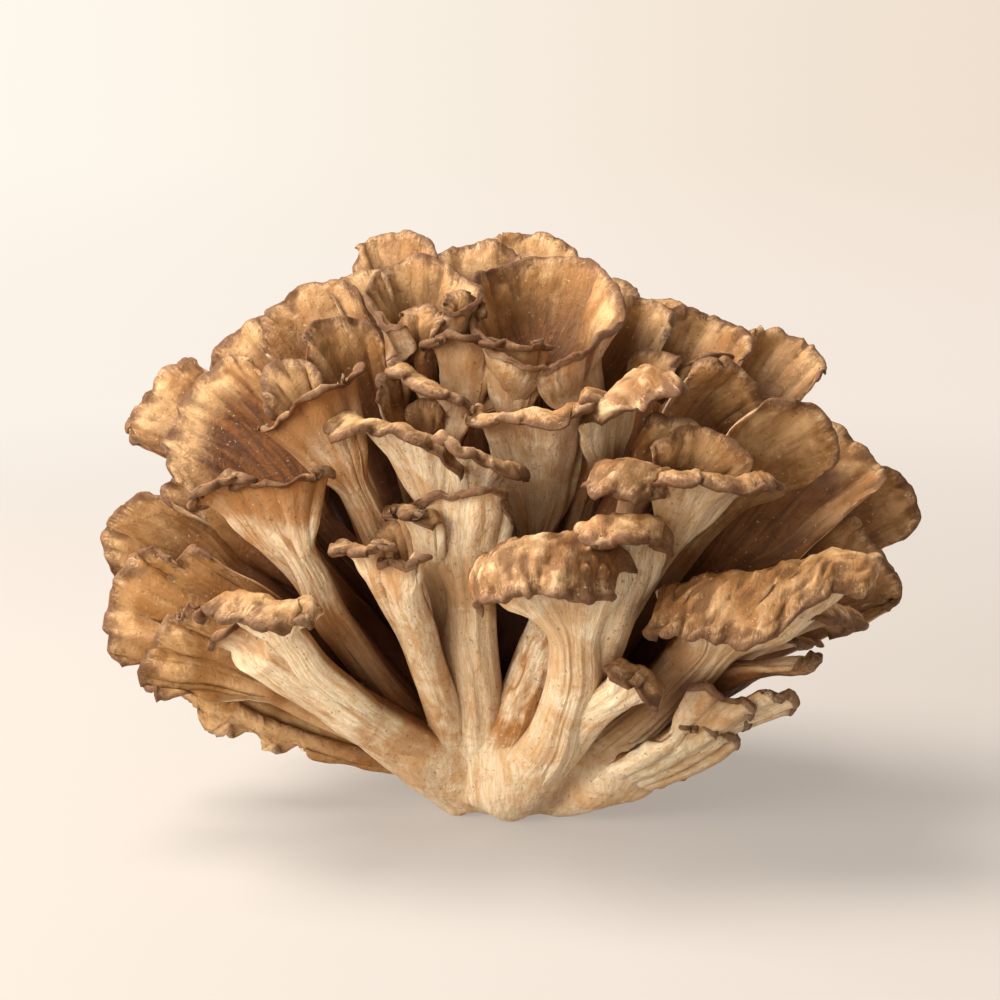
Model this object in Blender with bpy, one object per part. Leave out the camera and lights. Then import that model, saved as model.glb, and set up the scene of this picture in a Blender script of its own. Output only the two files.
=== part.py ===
"""Maitake mushroom (hen of the woods): one fruiting body, grown as one piece.

A pale solid base rests on a small flat spot. Branching stems rise and lean out of it and widen into
overlapping fan-shaped caps with thin rims that roll outwards. Modelled in millimetres, built in metres.
Width runs along X, the fuller side with the tall front stems looks to -Y, and Z points up.
"""
import math
import random
from dataclasses import dataclass, replace

import bmesh
import bpy
import numpy as np

MM = 0.001
UP = np.array([0.0, 0.0, 1.0])
CLEAR = 0.6   # stems keep this far off the table, only the base touches it


@dataclass
class Frond:
    """One stem with its cap. Lengths in mm, angles in degrees."""
    name: str
    root: tuple           # where the stem leaves the solid base
    mid: tuple            # where the stem passes half way
    crown: tuple          # middle of the cap's rim
    out: float            # bearing that the pale under face looks to: 0 is +X, 90 is +Y, -90 is the front
    width: float          # across the cap
    cap: float = 0.0      # length over which the stem widens, 0 stands for nine tenths of the width
    wrap: float = 90      # how far round the cap closes towards a funnel
    open: float = 0.9     # under 1 the cap widens at once like a fan, over 1 late like a trumpet
    stem: float = 11      # stem thickness
    fall: float = 0.8     # how far the rim's corners fall back, in half widths
    slant: float = 0.0    # extra length of one side of the rim over the other
    lip: float = 4        # length of the margin that rolls outwards
    curl: float = 50      # how far it rolls
    roll: float = 1.2     # over 1 it rolls most at its end like a scroll, under 1 it folds over and hangs
    ruffle: float = 1.2   # height of the waves across the cap
    waves: float = 2.5    # how many of them
    thick: float = 2.4    # flesh of the cap


# Stems and caps that stand at the front, pale under faces outwards
FRONT = [
    Frond("hood", (2, -11, 7), (15, -38, 50), (4, -60, 85), -95, 46, cap=40, wrap=40, open=1.0, stem=19, fall=0.4,
          slant=-2, lip=25, curl=138, roll=0.6, waves=1.5, ruffle=1.5, thick=4.0),
    Frond("hood_right", (3, -11, 7), (17, -38, 50), (27, -57, 87), -75, 22, cap=32, wrap=30, stem=17, fall=0.6,
          lip=15, curl=125, roll=0.6, thick=3.4),
    Frond("hood_left", (1, -11, 7), (10, -38, 52), (-9, -57, 84), -110, 12, cap=20, wrap=30, stem=10, lip=6,
          curl=110, roll=0.6),
    Frond("arch", (-3, -9, 7), (-12, -32, 50), (-12, -52, 91), -95, 25, cap=26, wrap=80, stem=14, lip=3, curl=75),
    Frond("arch_wing", (-8, -8, 8), (-20, -27, 52), (-23, -45, 90), -125, 22, cap=50, wrap=110, open=1.0, fall=1.0,
          curl=60, lip=3),
    Frond("stub_left", (-7, -9, 7), (-24, -40, 40), (-34, -58, 77), -115, 18, stem=9, fall=0.3, lip=6, curl=105),
    Frond("stub_right", (-7, -9, 7), (-22, -42, 38), (-27, -60, 73), -80, 14, open=1.2, stem=10, fall=0.3, lip=3,
          curl=75),
    Frond("wedge", (-4, -8, 10), (-14, -26, 66), (-29, -42, 104), -150, 30, cap=34, wrap=70, stem=9, fall=0.5,
          open=1.3, lip=9, curl=95, roll=0.7),
    Frond("panel", (-3, -8, 10), (-6, -27, 66), (-6, -46, 98), -80, 32, cap=32, wrap=80, open=1.3, fall=0.3,
          slant=-3, stem=10, lip=3, curl=75),
    Frond("vase", (0, -4, 12), (9, -14, 62), (4, -34, 102), -90, 42, cap=38, wrap=120, open=1.6, stem=10, fall=0.1,
          lip=6, curl=95, ruffle=2.0, waves=2.2),
    Frond("vase_lobe", (3, -4, 20), (17, -14, 74), (30, -29, 117), -35, 26, cap=40, wrap=50, open=0.8, stem=10,
          lip=18, curl=95, roll=0.7),
    Frond("inner_mid", (0, -2, 40), (0, -6, 88), (1, -12, 118), -90, 20, cap=18, wrap=110, open=1.4, stem=9,
          fall=0.2, curl=75, lip=3),
    Frond("inner_left", (-2, -2, 40), (-9, -5, 88), (-12, -6, 118), -100, 20, cap=18, open=1.2, stem=9, fall=0.3,
          lip=7, curl=95, roll=0.7),
    Frond("slant", (-2, -6, 25), (-13, -14, 78), (-20, -23, 112), -125, 30, cap=28, open=1.2, stem=8, fall=0.4,
          slant=-4, lip=8, curl=100, roll=0.7),
    Frond("curl_a", (-6, 0, 60), (-18, 0, 95), (-22, -2, 124), -100, 14, wrap=120, stem=7, curl=80),
    Frond("curl_b", (-4, 2, 60), (-13, 3, 95), (-14, 2, 128), -60, 13, wrap=120, stem=7, curl=80),
    Frond("bud_a", (-8, -10, 50), (-17, -15, 82), (-22, -20, 104), 60, 14, wrap=30, stem=7, curl=60),
    Frond("bud_b", (-10, -10, 50), (-24, -14, 85), (-30, -18, 110), 140, 14, wrap=80, stem=7, lip=3, curl=60),
    Frond("right_trumpet", (8, -9, 9), (28, -32, 64), (50, -50, 94), -75, 42, cap=38, wrap=70, open=1.3, stem=12,
          fall=0.4, lip=11, curl=105, roll=0.7, thick=3.0),
    Frond("right_trumpet_lobe", (7, -9, 9), (24, -28, 68), (31, -46, 98), -100, 24, cap=26, wrap=40, stem=10,
          fall=0.5, lip=15, curl=115, roll=0.6, thick=3.0),
    Frond("right_shelf", (9, -10, 7), (30, -28, 46), (44, -54, 73), -90, 58, cap=50, wrap=30, stem=14, fall=0.4,
          slant=-3, lip=27, curl=135, roll=0.6, ruffle=2.0, thick=3.4),
    Frond("right_shelf_tip", (11, -9, 7), (42, -22, 46), (69, -44, 73), -80, 40, cap=46, wrap=30, stem=12, fall=0.5,
          lip=17, curl=120, roll=0.6, thick=3.0),
    Frond("right_low_e", (9, -9, 6), (36, -26, 19), (57, -40, 38), -80, 28, cap=28, wrap=40, fall=0.6, lip=18,
          curl=115, roll=0.6),
    Frond("right_lobe", (6, -10, 7), (18, -36, 30), (27, -52, 49), -100, 18, wrap=50, fall=0.6, lip=13, curl=120,
          roll=0.6),
    Frond("left_trumpet", (-6, -8, 10), (-27, -24, 66), (-47, -34, 105), -100, 34, cap=40, wrap=100, open=1.5,
          fall=0.1, stem=10, lip=3, curl=75),
    Frond("left_trumpet_back", (-6, -8, 10), (-27, -20, 66), (-51, -22, 116), 105, 34, cap=38, wrap=110, open=1.0,
          fall=0.8, stem=8, lip=3, curl=60),
    Frond("left_flute", (-8, -8, 7), (-32, -30, 50), (-52, -43, 91), -90, 32, cap=38, wrap=110, open=1.6, fall=0.1,
          lip=3, curl=75),
    Frond("left_flute_tip", (-9, -8, 7), (-37, -28, 54), (-72, -36, 88), -110, 20, cap=34, wrap=60, fall=0.5,
          open=1.4, stem=8, lip=5, curl=90),
    Frond("left_shelf_stem", (-8, -10, 6), (-44, -36, 34), (-64, -44, 55), -110, 20, cap=18, stem=15, fall=0.6,
          curl=90, lip=4),
    Frond("left_tongue", (-8, -9, 6), (-36, -36, 40), (-64, -54, 67), -105, 38, cap=30, wrap=30, stem=12, fall=0.5,
          lip=12, curl=120, roll=0.6, thick=3.0),
]
# Caps whose brown upper faces look to the front: the middle, the top and the two sides
UPPER = [
    Frond("bowl", (0, 6, 40), (4, 8, 92), (8, 32, 137), 90, 54, cap=48, wrap=150, open=0.7, stem=12, fall=0.9,
          lip=3, curl=40),
    Frond("bowl_right", (2, 6, 40), (10, 2, 88), (23, 8, 120), 0, 26, cap=36, wrap=70, open=0.8, lip=4, curl=60),
    Frond("cup", (-5, 4, 45), (-18, 6, 94), (-28, 15, 135), 95, 36, cap=32, wrap=130, open=0.7, stem=9, fall=0.9,
          lip=3),
    Frond("top_left", (-6, 10, 50), (-22, 18, 98), (-31, 38, 141), 95, 29, cap=34, wrap=60, fall=1.0, lip=2),
    Frond("top_mid", (-2, 10, 50), (-6, 20, 94), (-10, 44, 138), 92, 38, cap=36, wrap=60, fall=0.9, lip=2),
    Frond("top_right", (2, 10, 50), (3, 26, 97), (8, 56, 140), 80, 32, cap=34, wrap=50, slant=-3, curl=60),
    Frond("back_a", (4, 10, 50), (14, 22, 92), (26, 46, 129), 75, 26, cap=30, wrap=60, lip=3),
    Frond("back_b", (6, 12, 45), (24, 28, 87), (41, 54, 123), 70, 26, cap=26, wrap=60, lip=3),
    Frond("ear", (4, 4, 45), (20, 8, 90), (35, 18, 126), 70, 22, cap=32, wrap=90, fall=1.0, lip=3),
    Frond("ear_low", (5, 2, 40), (24, -2, 82), (37, 4, 116), 50, 16, cap=22, wrap=50, lip=3),
    Frond("right_top", (8, 6, 40), (32, 9, 86), (54, 28, 121), 75, 38, cap=46, wrap=60, fall=1.0),
    Frond("right_back", (10, 8, 30), (46, 16, 78), (74, 36, 113), 75, 36, cap=46, wrap=60, fall=1.0, lip=3),
    Frond("right_bowl", (12, 2, 15), (51, -2, 60), (89, 10, 96), 68, 66, cap=60, wrap=90, open=0.6, fall=0.9,
          slant=-5, lip=3, curl=40),
    Frond("far_right", (14, 8, 12), (62, 18, 48), (102, 28, 76), 65, 26, cap=34, wrap=50, fall=0.9),
    Frond("right_fan", (10, -4, 20), (44, -12, 72), (74, -17, 102), 70, 34, cap=44, wrap=50, open=0.7, fall=1.0,
          lip=4, curl=60),
    Frond("right_tongue", (8, 0, 35), (33, -3, 82), (56, -7, 110), 65, 26, cap=36, wrap=50, fall=1.0, lip=4,
          curl=60),
    Frond("right_oval", (6, -6, 25), (24, -17, 72), (43, -29, 100), 65, 20, cap=26, wrap=20, open=0.7, fall=1.0,
          lip=4, curl=60),
    Frond("right_low_a", (12, -6, 7), (46, -14, 38), (83, -28, 57), -80, 34, cap=44, wrap=30, fall=0.9, lip=9,
          curl=85, roll=0.6),
    Frond("right_low_b", (12, 2, 10), (58, 4, 42), (93, 9, 62), 50, 38, cap=40, wrap=70, lip=4, curl=60),
    Frond("right_low_c", (12, 0, 10), (58, 0, 38), (98, 3, 57), 50, 16, cap=24, wrap=60),
    Frond("right_low_d", (12, -8, 6), (42, -18, 29), (74, -32, 48), -80, 32, cap=40, wrap=30, fall=0.8, lip=8,
          curl=85, roll=0.6),
    Frond("left_bowl", (-8, -2, 18), (-44, -6, 72), (-80, 4, 107), 108, 56, cap=54, wrap=90, open=0.6, fall=1.0,
          lip=3, curl=40),
    Frond("left_back_a", (-10, 2, 15), (-54, 8, 72), (-91, 18, 105), 108, 42, cap=38, wrap=60, fall=1.0, slant=-4,
          lip=3),
    Frond("left_back_b", (-8, 6, 25), (-44, 14, 82), (-71, 26, 116), 100, 34, cap=34, wrap=60, fall=0.9, lip=3),
    Frond("left_fan_a", (-12, -4, 8), (-54, -10, 50), (-97, -12, 75), 110, 37, cap=40, wrap=50, fall=1.0, slant=-1),
    Frond("left_fan_b", (-12, -6, 8), (-48, -20, 42), (-82, -27, 66), 110, 26, cap=44, wrap=40, open=0.7),
    Frond("left_mid", (-10, -4, 14), (-44, -10, 56), (-74, -14, 82), 125, 28, cap=46, wrap=50, open=0.7, lip=3),
    Frond("left_small", (-10, 0, 12), (-50, 0, 58), (-85, 8, 83), 110, 20, cap=24, wrap=60, lip=3),
    Frond("left_blade", (-8, -6, 8), (-36, -16, 48), (-62, -22, 82), -160, 22, cap=46, wrap=40, open=0.6, lip=3),
    Frond("left_shelf", (-10, -8, 7), (-52, -24, 38), (-96, -24, 58), 112, 46, cap=60, wrap=40, open=0.7,
          fall=0.9, stem=14, curl=60, ruffle=2.0),
    Frond("left_low", (-10, 2, 8), (-50, 2, 24), (-88, 8, 42), 95, 33, cap=80, wrap=30, open=0.5, lip=3, curl=30,
          ruffle=2.0),
    Frond("top_dark", (-6, 2, 50), (-24, 5, 94), (-40, 18, 133), 105, 18, cap=28, wrap=80, lip=3),
    Frond("top_fan", (-8, 2, 40), (-32, 4, 90), (-56, 14, 128), 105, 42, cap=44, wrap=60, fall=1.0, lip=3),
    Frond("top_blade", (-6, -4, 35), (-28, -8, 82), (-45, -9, 123), 140, 26, cap=38, wrap=110, fall=1.0, lip=3),
]
# The side away from the front: tiers of fronds, each a ring round the back
# count, first and last bearing, reach from the middle, height, width, height of the root
BACK_TIERS = [
    (8, 4, 176, 78, 36, 44, 8),
    (8, 12, 166, 84, 63, 44, 12),
    (7, 16, 162, 74, 91, 42, 20),
    (6, 30, 150, 56, 117, 38, 34),
]


def back_fronds():
    rng = random.Random(11)
    made = []
    for tier, (count, first, last, reach_out, height, width, low) in enumerate(BACK_TIERS):
        for i in range(count):
            out = first + (last - first) * i / (count - 1) + rng.uniform(-4, 4)
            x, y = math.cos(math.radians(out)), math.sin(math.radians(out))
            r = reach_out * rng.uniform(0.94, 1.05)
            z = height + rng.uniform(-9, 9)
            root = (x * 11, y * 9, low)
            crown = (x * r, y * r * 0.98, z)
            mid = (x * r * 0.48, y * r * 0.48, low + (z - low) * 0.62)
            made.append(Frond(f"back_{tier}_{i}", root, mid, crown, out + rng.uniform(-20, 20),
                              width * rng.uniform(0.85, 1.12), cap=0.95 * width, wrap=rng.uniform(50, 110),
                              open=rng.uniform(0.7, 1.0), fall=rng.uniform(0.7, 1.0), lip=rng.uniform(4, 9),
                              curl=rng.uniform(55, 95), ruffle=rng.uniform(1.2, 2.2)))
    return made


def unit(a):
    return a / np.maximum(np.linalg.norm(a, axis=-1, keepdims=True), 1e-9)


def smooth(x):
    x = np.clip(x, 0, 1)
    return x * x * (3 - 2 * x)


def spine(f, t):
    """Points and directions along the middle line of the stem and cap, t from 0 to 1."""
    a, m, c = (np.array(p, float) for p in (f.root, f.mid, f.crown))
    k = 2 * m - 0.5 * (a + c)
    t = t[..., None]
    return (1 - t) ** 2 * a + 2 * t * (1 - t) * k + t ** 2 * c, unit(2 * (1 - t) * (k - a) + 2 * t * (c - k))


def length(f):
    return float(np.linalg.norm(np.diff(spine(f, np.linspace(0, 1, 33))[0], axis=0), axis=1).sum())


def sideways(f, tangent):
    """The direction into the hollow of the cap and the direction across it, carried along without twist."""
    look = np.array([math.cos(math.radians(f.out)), math.sin(math.radians(f.out)), 0])
    first, end = spine(f, np.array([0.0, 1.0]))[1]
    n_end = unit(np.cross(np.cross(look, UP), end))
    bend = np.cross(first, end)
    if np.linalg.norm(bend) < 1e-3:
        n = np.broadcast_to(n_end, tangent.shape)
    else:
        bend = unit(bend)
        n = (n_end @ bend) * bend + (n_end @ np.cross(bend, end)) * np.cross(bend, tangent)
    return n, np.cross(tangent, n)


def widening(f, t):
    cap = (f.cap or 0.9 * f.width) / length(f)
    return np.clip((t - 1 + cap) / cap, 0, 1.2)


def surface(f, t, v):
    """Middle surface of the flesh: t along the frond, v from -1 to 1 across it."""
    p, tangent = spine(f, t)
    n, s = sideways(f, tangent)
    h = widening(f, t)
    half = f.stem / 2 * (1 + 0.35 * (1 - t) ** 3)
    half = half + (f.width / 2 - half) * smooth(h / 0.35) * np.maximum(h, 1e-6) ** f.open
    phi = math.radians(f.wrap / 2) * smooth(h * 1.3) + 0.15
    side = half / phi * np.sin(phi * v)
    back = half / phi * (1 - np.cos(phi * v))
    wave = np.sin(math.pi * f.waves * v) + 0.5 * np.sin(math.pi * f.waves * 2.3 * v + 1)
    lift = f.ruffle * smooth(h) * wave * (0.35 + 0.65 * np.abs(v))
    inner = np.cos(phi * v)[..., None] * n - np.sin(phi * v)[..., None] * s
    return p + side[..., None] * s + back[..., None] * n + lift[..., None] * inner


def rim_at(f, v):
    roll = math.radians(f.curl)
    end = 1 - f.lip * math.sin(min(roll, math.pi / 2)) / roll / length(f)
    return end - (f.fall * f.width / 2 * (1 - np.sqrt(1 - (0.96 * v) ** 2)) - f.slant * v) / length(f)


def sheet(f, rows, lip_rows, cols):
    """Rows of the middle surface from root to rolled rim, with the share t of each point."""
    v = np.linspace(-1, 1, cols + 1)
    v = 0.55 * v + 0.45 * np.sin(v * math.pi / 2)
    rim = rim_at(f, v)
    t = (1 - (1 - np.linspace(0, 1, rows + 1)) ** 1.15)[:, None] * rim[None, :]
    grid = [surface(f, t, np.broadcast_to(v, t.shape))]
    e = 0.02
    last = grid[0][-1]
    along = unit(last - surface(f, rim - e, v))
    across = unit(surface(f, rim, np.minimum(v + e, 1)) - surface(f, rim, np.maximum(v - e, -1)))
    outward = unit(np.cross(along, across))
    blend = min(0.92, f.lip / 18)   # a long lip hangs as one flap, a short one follows the rim
    along = unit(along * (1 - blend) + along[len(v) // 2] * blend)
    outward = unit(outward * (1 - blend) + outward[len(v) // 2] * blend)
    step = f.lip * (1 - 0.35 * v ** 2) * (1 + 0.2 * np.sin(math.pi * 2.7 * v)) / lip_rows
    for k in range(lip_rows):
        x = (k + 0.5) / lip_rows
        turn = math.radians(f.curl) * x ** f.roll
        last = last + (along * math.cos(turn) + outward * math.sin(turn)) * step[:, None]
        grid.append(last[None])
    return np.concatenate(grid), np.concatenate([t, np.repeat(t[-1:], lip_rows, 0)]), v


def blade(f, rows=6, lip_rows=2, cols=6):
    """A closed frond: both faces triangulated alike, one strip round the rim, one cap at the root."""
    mid, t, v = sheet(f, rows, lip_rows, cols)
    m, n = mid.shape[:2]
    normal = unit(np.cross(np.gradient(mid, axis=0), np.gradient(mid, axis=1)))
    h = smooth(widening(f, t) * 1.6)
    thick = f.thick + (0.85 * f.stem * (1 + 0.35 * (1 - t) ** 3) - f.thick) * (1 - h) ** 1.5
    half = 0.5 * thick * np.sqrt(np.clip(1 - np.abs(v[None]) ** (2 + 8 * h), 0, 1))
    half[-1] *= 0.6
    under = mid + normal * half[..., None]
    upper = mid - normal * half[..., None]
    points = np.concatenate([upper.reshape(-1, 3), under[:, 1:-1].reshape(-1, 3)])
    points[:, 2] = np.maximum(points[:, 2], CLEAR)
    a = np.arange(m * n).reshape(m, n)
    b = a.copy()
    b[:, 1:-1] = m * n + np.arange(m * (n - 2)).reshape(m, n - 2)
    faces = []

    def quad(p, q, r, s):
        ring = list(dict.fromkeys((int(p), int(q), int(r), int(s))))
        if len(ring) == 4:
            faces.extend([(ring[0], ring[1], ring[2]), (ring[0], ring[2], ring[3])])
        elif len(ring) == 3:
            faces.append(tuple(ring))

    for i in range(m - 1):
        for j in range(n - 1):
            quad(a[i, j], a[i, j + 1], a[i + 1, j + 1], a[i + 1, j])
            quad(b[i, j], b[i + 1, j], b[i + 1, j + 1], b[i, j + 1])
    for j in range(n - 1):
        quad(a[-1, j], a[-1, j + 1], b[-1, j + 1], b[-1, j])
        quad(a[0, j], b[0, j], b[0, j + 1], a[0, j + 1])
    return points, faces


# The solid base: an egg-shaped lump cut flat underneath, and a trunk inside the stems
BASE = ((2, 1, 12), (27, 24, 14))
TRUNK = ((0, 5, 42), (29, 27, 42))
TRIANGLES = 11500


def lump(centre, radii, rings=7, segments=14):
    """A squashed ball whose lowest part is pressed flat at the height of the table."""
    points = [(0, 0, -1)]
    for i in range(1, rings):
        lat = -math.pi / 2 + math.pi * i / rings
        points += [(math.cos(lat) * math.cos(2 * math.pi * j / segments),
                    math.cos(lat) * math.sin(2 * math.pi * j / segments), math.sin(lat)) for j in range(segments)]
    points.append((0, 0, 1))
    points = np.array(points) * radii + centre
    points[:, 2] = np.maximum(points[:, 2], 0)
    ring = [[1 + i * segments + j for j in range(segments)] for i in range(rings - 1)]
    faces = []
    for j in range(segments):
        k = (j + 1) % segments
        faces += [(0, ring[0][k], ring[0][j]), (len(points) - 1, ring[-1][j], ring[-1][k])]
        for low, high in zip(ring, ring[1:]):
            faces += [(low[j], low[k], high[k]), (low[j], high[k], high[j])]
    return points, faces


def add_object(name, points, faces, collection):
    mesh = bpy.data.meshes.new(name)
    mesh.from_pydata((np.asarray(points) * MM).tolist(), [], faces)
    made = bpy.data.objects.new(name, mesh)
    collection.objects.link(made)
    return made


def detail(f):
    """Rows, lip rows and columns, by the size of the cap."""
    lip_rows = 1 if f.lip < 8 else 2 if f.lip < 14 else 3
    return (4, lip_rows, 4) if f.width < 38 else (5, lip_rows, 6)


def apply(made):
    evaluated = made.evaluated_get(bpy.context.evaluated_depsgraph_get())
    made.data = bpy.data.meshes.new_from_object(evaluated)
    made.modifiers.clear()


def shells_of(mesh):
    """The closed skins in the mesh: the outer one, and any pocket shut in where blades cross."""
    unseen = set(mesh.verts)
    while unseen:
        shell, queue = [], [unseen.pop()]
        while queue:
            vert = queue.pop()
            shell.append(vert)
            for edge in vert.link_edges:
                other = edge.other_vert(vert)
                if other in unseen:
                    unseen.remove(other)
                    queue.append(other)
        yield shell


def build():
    for leftover in list(bpy.data.objects):
        bpy.data.objects.remove(leftover)
    scene = bpy.context.scene
    parts = bpy.data.collections.new("fronds")
    scene.collection.children.link(parts)
    add_object("trunk", *lump(*TRUNK), parts)
    for f in FRONT + UPPER + back_fronds():
        add_object(f.name, *blade(f, *detail(f)), parts)
    cluster = add_object("maitake_cluster", *lump(*BASE), scene.collection)
    fuse = cluster.modifiers.new("fuse", "BOOLEAN")
    fuse.operation = "UNION"
    fuse.solver = "MANIFOLD"
    fuse.operand_type = "COLLECTION"
    fuse.collection = parts
    apply(cluster)
    thin = cluster.modifiers.new("thin out", "DECIMATE")
    thin.ratio = min(1.0, TRIANGLES / sum(len(face.vertices) - 2 for face in cluster.data.polygons))
    apply(cluster)
    fused = cluster.data
    for piece in list(parts.objects):
        bpy.data.objects.remove(piece)
    bpy.data.collections.remove(parts)

    tidy = bmesh.new()
    tidy.from_mesh(fused)
    bmesh.ops.triangulate(tidy, faces=tidy.faces)
    shells = sorted(shells_of(tidy), key=len)
    for pocket in shells[:-1]:
        bmesh.ops.delete(tidy, geom=pocket, context="VERTS")
    tidy.to_mesh(fused)
    tidy.free()


build()
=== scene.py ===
"""Maitake mushroom: the looks.

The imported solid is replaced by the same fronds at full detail: thin waved caps with rolled, notched rims,
ribbed stems, and a solid base. Lengths are in millimetres until the mesh is made.
"""
import math
import random
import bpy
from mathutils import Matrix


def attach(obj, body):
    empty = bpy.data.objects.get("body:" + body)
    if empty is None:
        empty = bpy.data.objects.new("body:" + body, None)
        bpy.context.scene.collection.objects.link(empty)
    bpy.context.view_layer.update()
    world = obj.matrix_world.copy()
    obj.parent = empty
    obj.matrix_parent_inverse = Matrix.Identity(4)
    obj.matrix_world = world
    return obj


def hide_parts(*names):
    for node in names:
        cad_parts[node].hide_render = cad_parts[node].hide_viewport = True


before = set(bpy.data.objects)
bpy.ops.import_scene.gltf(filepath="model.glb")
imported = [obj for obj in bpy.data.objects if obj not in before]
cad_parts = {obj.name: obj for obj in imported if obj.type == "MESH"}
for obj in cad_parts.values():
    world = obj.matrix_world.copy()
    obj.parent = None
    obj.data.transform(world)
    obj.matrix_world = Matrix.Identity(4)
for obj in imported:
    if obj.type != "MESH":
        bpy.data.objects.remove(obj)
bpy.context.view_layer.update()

import zlib
from dataclasses import dataclass

import bmesh
import bpy
import numpy as np
from mathutils import Vector

MM = 0.001
UP = np.array([0.0, 0.0, 1.0])
STEP = 0.88      # mm between the points of a frond
BACK_COARSER = 1.5                      # the fronds of the back have wider steps
VOXEL = 0.0011  # metres, of the skin round the foot
BACK_SEED = 11
FULL_FUNNEL = 250                       # degrees: a cap that wraps this far is a funnel all round
FLAP_FROM, FLAP_FULL = 8, 18            # mm: a margin this long begins to hang, and hangs as one flap
NARROW = 30                             # mm: narrower caps have lower waves and notches
NO_EDGE = 40                            # mm: stands for far from any edge
FOOT_TOP = 40                           # mm: the foot's own skin ends here, inside the stems
CELL = 2.5                              # mm: the grid that measures how shut in a place is
LOOKS = ((-20, 6), (15, 10), (50, 8), (88, 1))   # rings of directions to look out: degrees up and how many
BASE = ((2, 1, 12), (27, 24, 14))       # middle and radii of the solid base, cut flat underneath
TRUNK = ((0, 5, 42), (29, 27, 42))      # and of the trunk inside the stems
PAPER_GLOW = 0.365                      # painted light: the glow of the paper near the mushroom, which lightens its shadow


@dataclass
class Frond:
    """One stem with its cap. Lengths in mm, angles in degrees."""
    name: str
    root: tuple           # where the stem leaves the solid base
    mid: tuple            # where the stem passes half way
    crown: tuple          # middle of the cap's rim
    out: float            # bearing that the pale under face looks to: 0 is +X, 90 is +Y, -90 is the front
    width: float          # across the cap
    cap: float = 0.0      # length over which the stem widens, 0 stands for nine tenths of the width
    wrap: float = 90      # how far round the cap closes towards a funnel
    open: float = 0.9     # under 1 the cap widens at once like a fan, over 1 late like a trumpet
    stem: float = 11      # stem thickness
    fall: float = 0.8     # how far the rim's corners fall back, in half widths
    slant: float = 0.0    # extra length of one side of the rim over the other
    lip: float = 4        # length of the margin that rolls outwards
    curl: float = 50      # how far it rolls
    roll: float = 1.2     # over 1 it rolls most at its end like a scroll, under 1 it folds over and hangs
    ruffle: float = 1.2   # height of the waves across the cap
    waves: float = 2.5    # how many of them
    thick: float = 2.4    # flesh of the cap
    tan: float = 0.3      # how brown the face below is: partly its own tan, partly painted shade
    dark: float = 0.0     # how much painted shade browns the hollow of the cap, below zero less; it also strengthens the stem's ochre stains, partly as painted shade
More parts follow.
